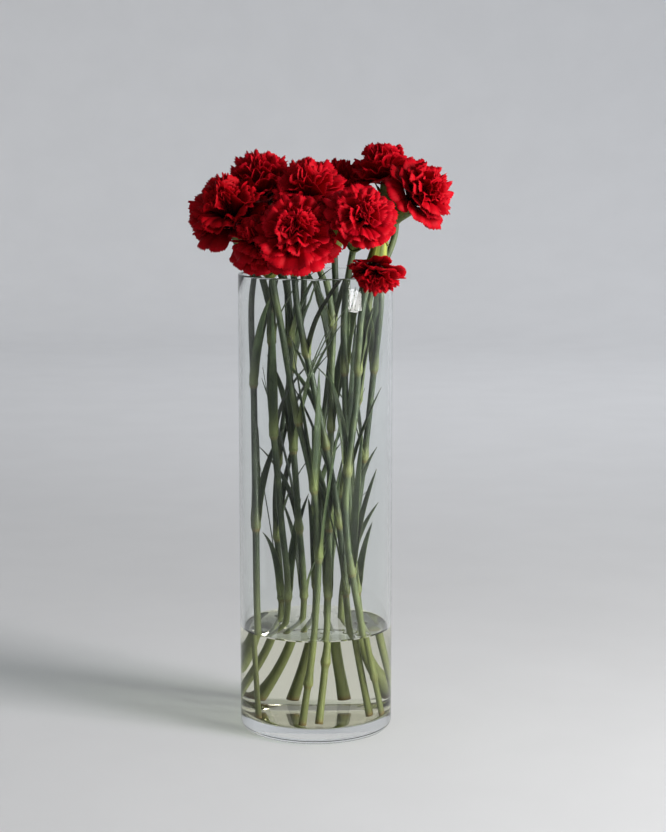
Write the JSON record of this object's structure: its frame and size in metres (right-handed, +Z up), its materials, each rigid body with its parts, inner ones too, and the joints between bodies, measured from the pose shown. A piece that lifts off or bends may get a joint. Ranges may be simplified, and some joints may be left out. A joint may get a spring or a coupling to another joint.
{
  "type": "vase of cut carnations",
  "caption": "Tall clear glass cylinder vase, part filled with water, holding a loose bunch of red carnations on long leafy stems, their heads massed above the rim.",
  "frame": {"origin": "centre of the vase's flat underside, on the surface that it stands on", "axes": "+Z up along the vase's axis, -Y towards the viewer of the picture, +X to the viewer's right"},
  "size_m": [0.1708, 0.1339, 0.3849],
  "materials": {
    "clear_glass": "polished",
    "water": "clear liquid",
    "stem_green": "waxy matte",
    "petal_red": "velvety matte"
  },
  "bodies": {
    "root": {"vase": "clear_glass", "water": "water", "leafy_stem_01": "stem_green", "bloom_01": "petal_red", "leafy_stem_02": "stem_green", "bloom_02": "petal_red", "leafy_stem_03": "stem_green", "bloom_03": "petal_red", "leafy_stem_04": "stem_green", "bloom_04": "petal_red", "leafy_stem_05": "stem_green", "bloom_05": "petal_red", "leafy_stem_06": "stem_green", "bloom_06": "petal_red", "leafy_stem_07": "stem_green", "bloom_07": "petal_red", "leafy_stem_08": "stem_green", "bloom_08": "petal_red", "leafy_stem_09": "stem_green", "bloom_09": "petal_red", "leafy_stem_10": "stem_green", "bloom_10": "petal_red", "leafy_stem_11": "stem_green", "bloom_11": "petal_red", "leafy_stem_12": "stem_green", "bloom_12": "petal_red"}
  },
  "joints": []
}
